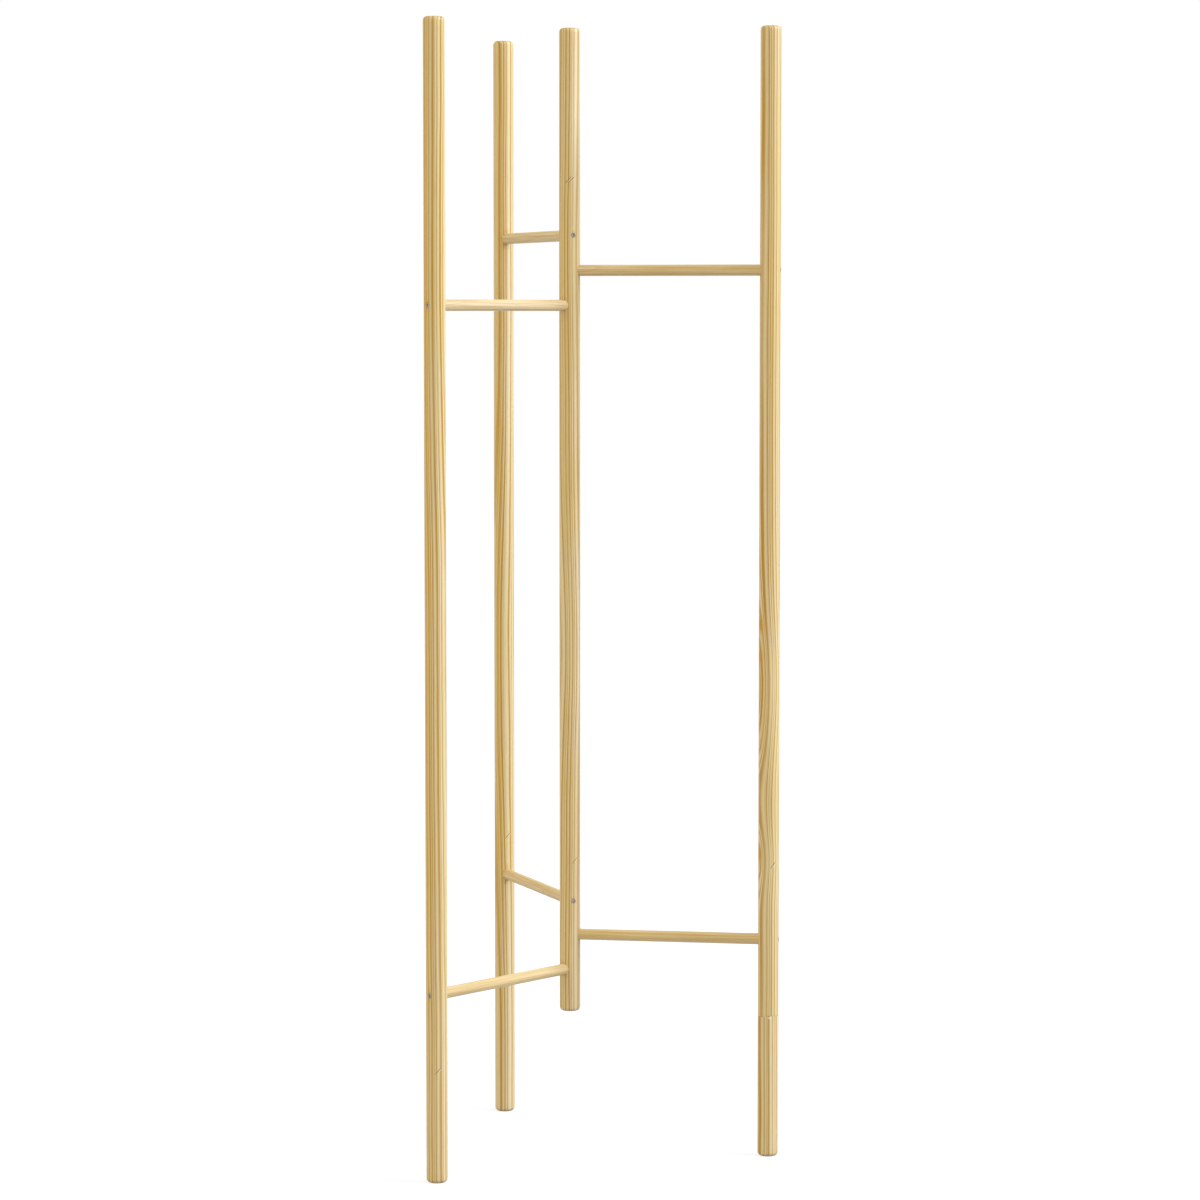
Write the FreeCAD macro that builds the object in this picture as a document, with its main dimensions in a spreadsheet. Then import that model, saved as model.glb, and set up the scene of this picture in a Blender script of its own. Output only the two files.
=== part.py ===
"""Free-standing open clothes frame of round pine.

A centre post hangs clear of the floor between three outer posts that stand on an equilateral triangle.
Two round rungs join each outer post to the centre post. Every rung end sits in a bored socket, and a screw
drawn in from the far side of the post runs along the rung's own axis. Each arm's rungs lie one step above
those of the arm before it, so the screws cross the centre post one above the other.

Millimetres, +Z up, floor at Z = 0, origin under the middle of the bounding box, right arm along +X.
"""
import FreeCAD
import Part
import Sketcher
import os

# Driving sizes: alias, millimetres, meaning
SIZES = (
    ("post_diameter", 30.0, "round timber of the four posts"),
    ("post_height", 1620.0, "floor to the level tops of all four posts"),
    ("end_rounding", 6.0, "radius on both ends of every post"),
    ("arm_reach", 290.0, "axis of the centre post to the axis of an outer post"),
    ("rung_diameter", 16.0, "round timber of the six rungs"),
    ("rung_end_chamfer", 0.8, "lead-in on both ends of a rung"),
    ("lowest_rung_height", 265.0, "floor to the axis of the left lower rung"),
    ("rung_step", 50.0, "rise from one arm's rungs to the next arm's rungs"),
    ("top_rung_drop", 295.0, "post tops down to the axis of the back upper rung"),
    ("centre_post_tail", 62.0, "axis of the left lower rung down to the foot of the centre post"),
    ("socket_depth", 12.0, "crown of the post down to the floor of a rung socket"),
    ("socket_clearance", 0.1, "socket diameter beyond the rung diameter"),
    ("screw_diameter", 4.0, "screw shank, drawn plain at the crest of its thread"),
    ("screw_length", 50.0, "underside of the head to the tip"),
    ("screw_point_length", 5.0, "cone at the tip"),
    ("screw_head_diameter", 6.5, "cylinder head"),
    ("screw_head_height", 3.5, "cylinder head"),
    ("head_rim_chamfer", 0.4, "eased upper rim of the head"),
    ("screw_head_sink", 0.4, "crown of the post down to the top of the head"),
    ("head_clearance", 0.3, "head recess diameter beyond the head diameter"),
    ("shank_clearance", 0.4, "hole through the post beyond the screw diameter"),
    ("pilot_clearance", 0.1, "hole in the rung end beyond the screw diameter"),
    ("pilot_end_room", 2.0, "depth of the rung's hole past the screw tip"),
    ("drive_width", 3.0, "hexagon drive across its flats"),
    ("drive_depth", 2.0, "hexagon drive below the top of the head"),
    ("cut_overrun", 2.0, "how far a cut starts outside the surface that it enters"),
)

# Arms in the order in which their rungs rise, one step each, evenly spaced round the centre post
ARMS = ("left", "right", "back")
LEVELS = ("lower", "upper")
HEXAGON_SIDES = 6
# Features that take timber or steel away
CUTS = ("PartDesign::Groove", "PartDesign::Pocket", "PartDesign::LinearPattern", "PartDesign::Mirrored")

# Sizes that follow from the driving ones
POST_RADIUS = "Sizes.post_diameter / 2"
SOCKET_FLOOR = f"({POST_RADIUS} - Sizes.socket_depth)"
HEAD_TOP = f"({POST_RADIUS} - Sizes.screw_head_sink)"
HEAD_SEAT = f"({HEAD_TOP} - Sizes.screw_head_height)"
HEAD_RADIUS = "Sizes.screw_head_diameter / 2"
SCREW_RADIUS = "Sizes.screw_diameter / 2"
RUNG_LENGTH = f"(Sizes.arm_reach - 2 * {SOCKET_FLOOR})"
PILOT_DEPTH = f"(Sizes.screw_length - {HEAD_SEAT} - {SOCKET_FLOOR} + Sizes.pilot_end_room)"
ALL_STEPS = f"{len(ARMS) - 1} * Sizes.rung_step"
LEVEL_SPREAD = f"(Sizes.post_height - Sizes.top_rung_drop - Sizes.lowest_rung_height - {ALL_STEPS})"
CENTRE_POST_FOOT = "(Sizes.lowest_rung_height - Sizes.centre_post_tail)"
# With three even arms, this centres the outer posts' extent along X on the origin
CENTRE_POST_X = "(-Sizes.arm_reach / 4)"


def arm_direction(arm):
    """Degrees from +X to an arm, seen from above."""
    return (ARMS.index(arm) - ARMS.index("right")) * 360 / len(ARMS)


def rung_height(arm, level):
    """Height of a rung's axis above the floor."""
    lower = f"(Sizes.lowest_rung_height + {ARMS.index(arm)} * Sizes.rung_step)"
    return lower if level == "lower" else f"({lower} + {LEVEL_SPREAD})"


def write_sizes(doc):
    """Put the driving sizes in the document's sheet, one aliased cell each."""
    sheet = doc.addObject("Spreadsheet::Sheet", "Sizes")
    for row, (alias, millimetres, meaning) in enumerate(SIZES, start=1):
        sheet.set(f"A{row}", alias)
        sheet.set(f"B{row}", str(millimetres))
        sheet.set(f"C{row}", meaning)
        sheet.setAlias(f"B{row}", alias)
    doc.recompute()


def size_of(doc, expression):
    """Present value of an expression in the sheet's sizes."""
    return float(doc.getObject("Sizes").evalExpression(expression))


def origin_feature(body, role):
    """One of the body's own base planes or axes."""
    return next(feature for feature in body.Origin.OriginFeatures if feature.Role == role)


def new_sketch(body, name, plane):
    """Empty sketch on one of the body's base planes."""
    sketch = body.newObject("Sketcher::SketchObject", f"{body.Name}_{name}")
    sketch.AttachmentSupport = (origin_feature(body, plane), [""])
    sketch.MapMode = "FlatFace"
    return sketch


def draw_circle(sketch, diameter):
    """Circle about the sketch's origin."""
    radius = size_of(sketch.Document, diameter) / 2
    circle = sketch.addGeometry(Part.Circle(FreeCAD.Vector(), FreeCAD.Vector(0, 0, 1), radius))
    sketch.addConstraint(Sketcher.Constraint("Coincident", circle, 3, -1, 1))
    index = sketch.addConstraint(Sketcher.Constraint("Diameter", circle, 2 * radius))
    sketch.renameConstraint(index, "diameter")
    sketch.setExpression("Constraints.diameter", diameter)


def draw_outline(sketch, corners):
    """Closed outline with straight sides; each corner is a pair of expressions."""
    points = []
    for across, along in corners:
        points.append(FreeCAD.Vector(size_of(sketch.Document, across), size_of(sketch.Document, along), 0))
    for number, start in enumerate(points):
        end = points[(number + 1) % len(points)]
        sketch.addGeometry(Part.LineSegment(start, end))
    for number, (start, corner) in enumerate(zip(points, corners)):
        following = (number + 1) % len(points)
        sketch.addConstraint(Sketcher.Constraint("Coincident", number, 2, following, 1))
        for kind, distance, expression in zip(("DistanceX", "DistanceY"), start, corner):
            index = sketch.addConstraint(Sketcher.Constraint(kind, -1, 1, number, 1, distance))
            sketch.renameConstraint(index, f"{kind}_{number}")
            sketch.setExpression(f"Constraints.{kind}_{number}", expression)


def pad(body, sketch, length, symmetric=False):
    """Extrude a sketch, to one side or evenly to both."""
    feature = body.newObject("PartDesign::Pad", f"{body.Name}_pad")
    feature.Profile = sketch
    feature.Midplane = symmetric
    feature.setExpression("Length", length)
    body.Document.recompute()
    return feature


def round_edges(feature):
    """Names of a feature's full-circle edges."""
    names = []
    for number, edge in enumerate(feature.Shape.Edges, start=1):
        if isinstance(edge.Curve, Part.Circle):
            names.append(f"Edge{number}")
    return names


def turn(body, kind, name, sketch):
    """Revolve a sketch about its own horizontal axis, to add or to cut."""
    feature = body.newObject(f"PartDesign::{kind}", f"{body.Name}_{name}")
    feature.Profile = sketch
    feature.ReferenceAxis = (sketch, ["H_Axis"])
    feature.Angle = 360
    return feature


def bore_joint(body, name, direction, height):
    """Stepped bore across a post: screw-head recess, screw hole, then rung socket on the rung's side."""
    sketch = new_sketch(body, f"{name}_bore_outline", "XZ_Plane")
    turned_to_rung = FreeCAD.Rotation(FreeCAD.Vector(0, 1, 0), direction)
    sketch.AttachmentOffset = FreeCAD.Placement(FreeCAD.Vector(), turned_to_rung)
    sketch.setExpression("AttachmentOffset.Base.y", height)
    recess_radius = f"{HEAD_RADIUS} + Sizes.head_clearance / 2"
    hole_radius = f"{SCREW_RADIUS} + Sizes.shank_clearance / 2"
    socket_radius = "Sizes.rung_diameter / 2 + Sizes.socket_clearance / 2"
    head_side = f"-({POST_RADIUS} + Sizes.cut_overrun)"
    rung_side = f"{POST_RADIUS} + Sizes.cut_overrun"
    draw_outline(sketch, (
        (head_side, "0"),
        (head_side, recess_radius),
        (f"-{HEAD_SEAT}", recess_radius),
        (f"-{HEAD_SEAT}", hole_radius),
        (SOCKET_FLOOR, hole_radius),
        (SOCKET_FLOOR, socket_radius),
        (rung_side, socket_radius),
        (rung_side, "0"),
    ))
    return turn(body, "Groove", f"{name}_bore", sketch)


def repeat_at_upper_level(body, bores):
    """Copy the lower level's bores to the upper level."""
    body.Document.recompute()
    pattern = body.newObject("PartDesign::LinearPattern", f"{body.Name}_levels")
    pattern.Originals = bores
    pattern.Direction = (origin_feature(body, "Z_Axis"), [""])
    pattern.setExpression("Length", LEVEL_SPREAD)
    pattern.Occurrences = len(LEVELS)
    body.Tip = pattern


def make_post(doc, label, length, joints):
    """Round post with rounded ends; joints gives each lower bore's name, direction and height."""
    body = doc.addObject("PartDesign::Body", label)
    section = new_sketch(body, "section", "XY_Plane")
    draw_circle(section, "Sizes.post_diameter")
    timber = pad(body, section, length)
    rounding = body.newObject("PartDesign::Fillet", f"{label}_rounded_ends")
    rounding.Base = (timber, round_edges(timber))
    rounding.setExpression("Radius", "Sizes.end_rounding")
    bores = [bore_joint(body, name, direction, height) for name, direction, height in joints]
    repeat_at_upper_level(body, bores)
    return body


def make_rung(doc, label):
    """Round rung along X, its middle at the origin, with chamfered ends and a screw hole in each end."""
    body = doc.addObject("PartDesign::Body", label)
    section = new_sketch(body, "section", "YZ_Plane")
    draw_circle(section, "Sizes.rung_diameter")
    timber = pad(body, section, RUNG_LENGTH, symmetric=True)
    lead_in = body.newObject("PartDesign::Chamfer", f"{label}_lead_in")
    lead_in.Base = (timber, round_edges(timber))
    lead_in.setExpression("Size", "Sizes.rung_end_chamfer")
    mouth = new_sketch(body, "pilot_mouth", "YZ_Plane")
    mouth.setExpression("AttachmentOffset.Base.z", f"{RUNG_LENGTH} / 2")
    draw_circle(mouth, "Sizes.screw_diameter + Sizes.pilot_clearance")
    pilot = body.newObject("PartDesign::Pocket", f"{label}_pilot")
    pilot.Profile = mouth
    pilot.setExpression("Length", PILOT_DEPTH)
    doc.recompute()
    both_ends = body.newObject("PartDesign::Mirrored", f"{label}_both_ends")
    both_ends.Originals = [pilot]
    both_ends.MirrorPlane = (origin_feature(body, "YZ_Plane"), [""])
    body.Tip = both_ends
    return body


def make_screw(doc, label):
    """Cylinder-head wood screw along +X, the underside of its head at the origin."""
    body = doc.addObject("PartDesign::Body", label)
    profile = new_sketch(body, "profile", "XZ_Plane")
    draw_outline(profile, (
        ("-Sizes.screw_head_height", "0"),
        ("-Sizes.screw_head_height", f"{HEAD_RADIUS} - Sizes.head_rim_chamfer"),
        ("Sizes.head_rim_chamfer - Sizes.screw_head_height", HEAD_RADIUS),
        ("0", HEAD_RADIUS),
        ("0", SCREW_RADIUS),
        ("Sizes.screw_length - Sizes.screw_point_length", SCREW_RADIUS),
        ("Sizes.screw_length", "0"),
    ))
    turn(body, "Revolution", "blank", profile)
    hexagon = new_sketch(body, "drive_outline", "YZ_Plane")
    hexagon.setExpression("AttachmentOffset.Base.z", "-Sizes.screw_head_height")
    corner_radius = "Sizes.drive_width / sqrt(3)"
    corners = []
    for number in range(HEXAGON_SIDES):
        angle = number * 360 / HEXAGON_SIDES
        corners.append((f"{corner_radius} * cos({angle} deg)", f"{corner_radius} * sin({angle} deg)"))
    draw_outline(hexagon, corners)
    drive = body.newObject("PartDesign::Pocket", f"{label}_drive")
    drive.Profile = hexagon
    drive.Reversed = True
    drive.setExpression("Length", "Sizes.drive_depth")
    return body


def place(body, direction, from_centre, height, facing):
    """Stand a body at a distance from the centre post along an arm, its own +X turned to a facing."""
    body.Placement = FreeCAD.Placement(
        FreeCAD.Vector(), FreeCAD.Rotation(FreeCAD.Vector(0, 0, 1), facing)
    )
    body.setExpression("Placement.Base.x", f"{CENTRE_POST_X} + ({from_centre}) * cos({direction} deg)")
    body.setExpression("Placement.Base.y", f"({from_centre}) * sin({direction} deg)")
    body.setExpression("Placement.Base.z", height)


def make_centre_post(doc):
    """Centre post with the bores of all three arms."""
    joints = []
    for arm in ARMS:
        joints.append((arm, arm_direction(arm), f"{rung_height(arm, 'lower')} - {CENTRE_POST_FOOT}"))
    body = make_post(doc, "centre_post", f"Sizes.post_height - {CENTRE_POST_FOOT}", joints)
    place(body, direction=0, from_centre="0", height=CENTRE_POST_FOOT, facing=0)
    return body


def make_arm(doc, arm):
    """Outer post, two rungs and their four screws; the post and its own screws face the centre post."""
    outwards = arm_direction(arm)
    inwards = outwards + 180
    post = make_post(doc, f"{arm}_post", "Sizes.post_height", [("rung", 0, rung_height(arm, "lower"))])
    place(post, outwards, "Sizes.arm_reach", "0", inwards)
    bodies = [post]
    for level in LEVELS:
        height = rung_height(arm, level)
        rung = make_rung(doc, f"{arm}_rung_{level}")
        place(rung, outwards, "Sizes.arm_reach / 2", height, outwards)
        centre_screw = make_screw(doc, f"{arm}_rung_{level}_centre_screw")
        place(centre_screw, outwards, f"-{HEAD_SEAT}", height, outwards)
        outer_screw = make_screw(doc, f"{arm}_rung_{level}_outer_screw")
        place(outer_screw, outwards, f"Sizes.arm_reach + {HEAD_SEAT}", height, inwards)
        bodies.extend((rung, centre_screw, outer_screw))
    return bodies


def check(doc, bodies):
    """Raise if a feature failed, a cut took nothing away or a piece isn't one sound solid."""
    for feature in doc.Objects:
        if "Invalid" in feature.State or "Error" in feature.State:
            raise RuntimeError(f"{feature.Label} failed: {feature.State}")
        if feature.TypeId in CUTS and feature.Shape.Volume >= feature.BaseFeature.Shape.Volume:
            raise RuntimeError(f"{feature.Label} cuts nothing")
    for body in bodies:
        shape = body.Shape
        if shape.isNull() or not shape.isValid() or len(shape.Solids) != 1:
            raise RuntimeError(f"{body.Label} isn't one sound solid")


def main():
    doc = FreeCAD.newDocument("open_frame_wardrobe")
    write_sizes(doc)
    bodies = [make_centre_post(doc)]
    for arm in ARMS:
        bodies.extend(make_arm(doc, arm))
    doc.recompute()
    check(doc, bodies)
    os.makedirs("parts", exist_ok=True)
    for body in bodies:
        body.Shape.exportStep(f"parts/{body.Label}.step")


main()
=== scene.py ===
"""Open frame wardrobe: turned pine posts and rungs, recessed screws, and a plain studio around them.

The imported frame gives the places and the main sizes. Lengths are in metres.
"""

import math
from typing import NamedTuple

import bpy
from bpy.props import FloatProperty, FloatVectorProperty, IntProperty, PointerProperty
from bpy.types import Operator, Panel, PropertyGroup
from mathutils import Matrix, Vector


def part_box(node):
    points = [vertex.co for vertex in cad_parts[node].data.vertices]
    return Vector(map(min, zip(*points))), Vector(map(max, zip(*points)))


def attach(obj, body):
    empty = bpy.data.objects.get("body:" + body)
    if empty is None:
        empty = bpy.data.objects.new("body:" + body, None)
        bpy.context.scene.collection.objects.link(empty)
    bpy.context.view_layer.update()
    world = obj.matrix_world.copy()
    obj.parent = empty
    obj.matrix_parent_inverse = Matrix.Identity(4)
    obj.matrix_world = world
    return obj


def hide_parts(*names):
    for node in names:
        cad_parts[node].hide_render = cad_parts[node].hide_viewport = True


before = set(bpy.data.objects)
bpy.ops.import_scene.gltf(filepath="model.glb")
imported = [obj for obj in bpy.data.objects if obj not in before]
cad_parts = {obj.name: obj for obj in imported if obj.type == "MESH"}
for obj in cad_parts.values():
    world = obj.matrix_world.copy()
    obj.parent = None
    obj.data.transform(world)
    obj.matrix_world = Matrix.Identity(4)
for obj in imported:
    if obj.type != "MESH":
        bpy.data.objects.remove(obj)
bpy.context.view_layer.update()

bl_info = {
    "name": "Open frame wardrobe",
    "version": (1, 0, 0),
    "blender": (4, 5, 0),
    "location": "3D View > Sidebar > Wardrobe",
    "description": "Builds a clothes frame of turned pine posts and rungs in a plain studio",
    "category": "Object",
}

BODY = "root"
ARMS = ("left", "right", "back")
LEVELS = ("lower", "upper")
CENTRE_POST = "centre_post"
SPLICED_POST = "right_post"
PINE = "sanded_pine"
STEEL = "plated_steel"
FULL_TURN = 2 * math.pi
QUARTER_TURN = math.pi / 2
Y_AXIS = (0.0, 1.0, 0.0)
Z_AXIS = (0.0, 0.0, 1.0)
WHITE = (1.0, 1.0, 1.0, 1.0)


# Names, places and sizes in the frame

def post_name(arm):
    """Name of the post at the end of an arm."""
    return arm + "_post"


def rung_name(arm, level):
    """Name of an arm's rung in the frame."""
    return f"{arm}_rung_{level}"


def screw_name(arm, level, end):
    """Name of the screw that holds one end of a rung."""
    return f"{rung_name(arm, level)}_{end}_screw"


def box_size(node):
    """Extent of a node's box along the three axes."""
    low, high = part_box(node)
    return Vector(high) - Vector(low)


def box_middle(node):
    """Middle of a node's box."""
    low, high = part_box(node)
    return (Vector(high) + Vector(low)) / 2


def post_foot(post):
    """Point where a post's axis meets its lower end."""
    middle = box_middle(post)
    return Vector((middle.x, middle.y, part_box(post)[0][2]))


def post_radius(post):
    """Half of a post's thickness."""
    return box_size(post).x / 2


def arm_direction(arm):
    """Level unit vector from the centre post to the arm's own post."""
    reach = box_middle(post_name(arm)) - box_middle(CENTRE_POST)
    return Vector((reach.x, reach.y, 0.0)).normalized()


def rung_ends(arm):
    """Both ends of an arm's rungs: the post that each sits in, and the direction from it into the rung."""
    outward = arm_direction(arm)
    return {"centre": (CENTRE_POST, outward), "outer": (post_name(arm), -outward)}


def joints_of(post):
    """Arms that meet a post, each with the direction from the post into its rungs."""
    return [(arm, inward) for arm in ARMS for at, inward in rung_ends(arm).values() if at == post]


def bearing_of(direction):
    """Angle of a level direction from X."""
    return math.atan2(direction.y, direction.x)


POSTS = (CENTRE_POST, *(post_name(arm) for arm in ARMS))
# The right arm lies along X, so its boxes give true lengths
CENTRE_X = box_middle(CENTRE_POST).x
STRAIGHT_POST = post_name("right")
STRAIGHT_RUNG = rung_name("right", "lower")
STRAIGHT_SCREW = screw_name("right", "lower", "centre")
SOCKET_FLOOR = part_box(STRAIGHT_RUNG)[0][0] - CENTRE_X
HEAD_REACH = CENTRE_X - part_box(STRAIGHT_SCREW)[0][0]


# Settings that a user would change

def length(name, description, default):
    """A length setting."""
    return FloatProperty(name=name, description=description, default=default, min=0.0, precision=4,
                         subtype="DISTANCE", unit="LENGTH")


def share(name, description, default, top=1.0):
    """A setting without a unit, from nothing up."""
    return FloatProperty(name=name, description=description, default=default, min=0.0, max=top)


def colour(name, description, default):
    """A colour setting in linear light."""
    return FloatVectorProperty(name=name, description=description, default=default, size=3,
                               min=0.0, max=1.0, subtype="COLOR")


def angle(name, description, degrees):
    """An angle setting, given here in degrees."""
    return FloatProperty(name=name, description=description, default=math.radians(degrees),
                         subtype="ANGLE", unit="ROTATION")


class TimberSizes(PropertyGroup):
    """Sizes of the round timber and of the holes in it."""

    post_diameter: length("Post diameter", "Thickness of a post", box_size(STRAIGHT_POST).x)
    post_rounding: length("Post end rounding", "Radius round both ends of a post", 0.006)
    rung_diameter: length("Rung diameter", "Thickness of a rung", box_size(STRAIGHT_RUNG).y)
    rung_length: length("Rung length", "Length of a rung with both ends", box_size(STRAIGHT_RUNG).x)
    rung_rounding: length("Rung end rounding", "Radius round both ends of a rung", 0.0008)
    socket_diameter: length("Socket diameter", "Hole that takes a rung's end", 0.0161)
    socket_floor: length("Socket floor", "From the post's axis to the floor of a socket", SOCKET_FLOOR)
    recess_diameter: length("Recess diameter", "Hole that takes a screw's head", 0.0068)
    recess_seat: length("Recess seat", "From the post's axis to the seat of a screw's head", 0.0111)
    hole_diameter: length("Screw hole diameter", "Hole that takes a screw's shank", 0.0044)
    pilot_diameter: length("Pilot diameter", "Hole in a rung's end", 0.0041)
    pilot_depth: length("Pilot depth", "Depth of the hole in a rung's end", 0.037)
    sides: IntProperty(name="Sides", description="Flat sides round a post or rung", default=144, min=12)
    row_length: length("Row length", "Longest row of faces along a post or rung", 0.012)


class ScrewSizes(PropertyGroup):
    """Sizes of the screws that hold the rungs."""

    head_diameter: length("Head diameter", "Width of a screw's head", 0.0065)
    head_height: length("Head height", "Height of a screw's head", 0.0035)
    head_reach: length("Head reach", "From the post's axis to the top of a screw's head", HEAD_REACH)
    rim: length("Rim", "Width of the bevel round a head", 0.0004)
    drive_width: length("Drive width", "Width of the six-sided drive across its flats", 0.003)
    drive_depth: length("Drive depth", "Depth of the six-sided drive", 0.002)
    shank_diameter: length("Shank diameter", "Thickness of the shank", 0.004)
    screw_length: length("Length", "From the top of the head to the point", box_size(STRAIGHT_SCREW).x)
    point: length("Point", "Length of the tapered point", 0.005)
    thread_length: length("Thread length", "Length of the thread with the point", 0.0335)
    thread_pitch: length("Thread pitch", "From one turn of the thread to the next", 0.0018)
    thread_depth: length("Thread depth", "Depth of the thread", 0.00045)
    sides: IntProperty(name="Sides", description="Flat sides round a screw", default=48, min=12)


class PineLook(PropertyGroup):
    """Colours and figure of the pine."""

    early: colour("Early wood", "Pale wood between the growth lines", (0.89, 0.755, 0.54))
    late: colour("Late wood", "Brown of the growth lines", (0.50, 0.27, 0.008))
    resin: colour("Resin", "Ochre of the growth lines where the wood is full of resin", (0.64, 0.34, 0.01))
    warm: colour("Warm wood", "Yellower wood in broad drifts and round resin", (0.80, 0.61, 0.235))
    # The nick colour darkens the nicks, the splice's seam and the rounded ends; on the ends it is partly
    # painted shade
    nick: colour("Nick", "Dark wood in a nick or a seam", (0.34, 0.20, 0.055))
    # The lip colour is a painted highlight on the raised lip beside each nick, and the real pale wood of
    # the chip at the splice
    lip: colour("Lip", "Pale wood raised beside a nick", (0.96, 0.88, 0.72))
    ring: length("Ring spacing", "Usual distance between growth lines", 0.0045)
    sheen: share("Roughness", "Roughness of the sanded and oiled surface", 0.46)
    relief: length("Relief", "Height of the grain", 0.00012)


class SteelLook(PropertyGroup):
    """Finish of the screws."""

    # The drive's colour is lighter than the head's: painted light that lifts the shade in the drive and
    # stands for a highlight in the head's middle
    bright: colour("Bright steel", "Colour of the plating in the drive", (0.55, 0.50, 0.43))
    face: colour("Head steel", "Colour of the rest", (0.36, 0.31, 0.245))
    roughness: share("Roughness", "Roughness of the plated steel", 0.38)
    edge: share("Edge", "Share of its grazing reflection that the plating keeps", 0.1)


class StudioSetup(PropertyGroup):
    """Camera, lamps and floor."""

    sky: share("Sky", "Strength of the even light from all round", 0.85, 10.0)
    sky_tint: colour("Sky tint", "Colour of the even light", (1.0, 0.92, 0.62))
    key: share("Key", "Light of the key lamp on a surface that faces it", 0.90, 10.0)
    key_tint: colour("Key tint", "Colour of the key lamp", (0.70, 0.79, 1.0))
    fill: share("Fill", "Light of the fill lamp on a surface that faces it", 0.08, 10.0)
    fill_tint: colour("Fill tint", "Colour of the fill lamp", (1.0, 0.74, 0.38))
    floor_bounce: share("Floor bounce", "Share of the light that the floor gives back", 0.40)
    floor_glow: share("Floor glow", "Part of the floor's white that takes no shadow", 0.73)
    turn: angle("Camera turn", "Turn of the camera round the upright", 9.527)
    tilt: angle("Camera tilt", "Fall of the camera's view below the level", 4.195)
    lens: FloatProperty(name="Lens", description="Focal length in millimetres", default=117.49, min=1.0)


# Nodes written as Python expressions

def named(sockets, name):
    """The socket with a name."""
    return next(socket for socket in sockets if socket.name == name)


def is_vector(value):
    """Whether a value or wire has three parts."""
    if isinstance(value, Wire):
        return value.socket.type in {"VECTOR", "RGBA"}
    return not isinstance(value, (int, float))


class Wire:
    """An output socket of a node tree. Arithmetic on wires adds Math and Vector Math nodes."""

    def __init__(self, tree, socket):
        self.tree = tree
        self.socket = socket

    @classmethod
    def of(cls, tree, kind, inputs=None, output=0, **settings):
        """Adds a node of a type, with its settings and then its sockets, and gives one of its outputs."""
        node = tree.nodes.new(kind)
        for name, value in settings.items():
            setattr(node, name, value)
        shown = [socket for socket in node.inputs if socket.enabled]
        for key, value in (inputs or {}).items():
            socket = shown[key] if isinstance(key, int) else named(shown, key)
            if isinstance(value, list):
                for wire in value:
                    tree.links.new(wire.socket, socket)
            elif isinstance(value, Wire):
                tree.links.new(value.socket, socket)
            else:
                socket.default_value = value
        outputs = [socket for socket in node.outputs if socket.enabled]
        if not outputs:
            return None
        return cls(tree, outputs[output] if isinstance(output, int) else named(outputs, output))

    def other(self, name):
        """Another output of the same node."""
        return Wire(self.tree, named(self.socket.node.outputs, name))

    def parts(self):
        """The three parts of a vector."""
        split = Wire.of(self.tree, "ShaderNodeSeparateXYZ", {0: self})
        return split, split.other("Y"), split.other("Z")

    def math(self, operation, *others):
        """A Math node on this wire."""
        inputs = dict(enumerate((self, *others)))
        return Wire.of(self.tree, "ShaderNodeMath", inputs, operation=operation)

    def clamped(self):
        """This wire, held between 0 and 1."""
        return self.math("MAXIMUM", 0.0).math("MINIMUM", 1.0)

    def pair(self, operation, first, second):
        """A Math or Vector Math node on two values. A vector with a number is scaled."""
        kind = "ShaderNodeVectorMath"
        inputs = {0: first, 1: second}
        if is_vector(first) != is_vector(second):
            vector, scale = (first, second) if is_vector(first) else (second, first)
            operation = "SCALE"
            inputs = {"Vector": vector, "Scale": scale}
        elif not is_vector(first):
            kind = "ShaderNodeMath"
        return Wire.of(self.tree, kind, inputs, operation=operation)

    def __add__(self, other):
        return self.pair("ADD", self, other)

    __radd__ = __add__

    def __sub__(self, other):
        return self.pair("SUBTRACT", self, other)

    def __rsub__(self, other):
        return self.pair("SUBTRACT", other, self)

    def __mul__(self, other):
        return self.pair("MULTIPLY", self, other)

    __rmul__ = __mul__

    def __truediv__(self, other):
        return self.pair("DIVIDE", self, other)

    def __rtruediv__(self, other):
        return self.pair("DIVIDE", other, self)


def smooth(value, low, high):
    """Rises smoothly from 0 to 1 as the value goes from low to high."""
    return Wire.of(value.tree, "ShaderNodeMapRange", {"Value": value, "From Min": low, "From Max": high},
                   interpolation_type="SMOOTHSTEP")


def between(value, rise, fall):
    """Rises to 1 over the first range of the value, and falls back to 0 over the second."""
    return smooth(value, *rise) * (1 - smooth(value, *fall))


def at_least(low, wire):
    """Goes from low to 1 as the wire goes from 0 to 1."""
    return low + wire * (1 - low)


def combine(tree, x, y, z):
    """A vector from three parts."""
    return Wire.of(tree, "ShaderNodeCombineXYZ", {"X": x, "Y": y, "Z": z})


def dot(first, second):
    """Dot product of two vectors."""
    inputs = {0: first, 1: second}
    return Wire.of(first.tree, "ShaderNodeVectorMath", inputs, "Value", operation="DOT_PRODUCT")


def blend(factor, first, second, kind="RGBA"):
    """Goes from the first colour or value to the second."""
    inputs = {"Factor": factor, "A": first, "B": second}
    return Wire.of(factor.tree, "ShaderNodeMix", inputs, data_type=kind)


def noise(vector, detail):
    """Even noise about a half, one step to each unit of the vector."""
    inputs = {"Vector": vector, "Scale": 1.0, "Detail": detail}
    return Wire.of(vector.tree, "ShaderNodeTexNoise", inputs, "Fac")


def line_noise(value):
    """Noise along one value."""
    inputs = {"W": value, "Scale": 1.0, "Detail": 0.0}
    return Wire.of(value.tree, "ShaderNodeTexNoise", inputs, "Fac", noise_dimensions="1D")


def attribute(tree, name, output):
    """A value that was kept on the points of a mesh."""
    return Wire.of(tree, "ShaderNodeAttribute", output=output, attribute_name=name)


def rgba(three):
    """A colour setting as a colour socket takes it."""
    return (three[0], three[1], three[2], 1.0)


# Geometry Nodes for turned pieces

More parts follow.
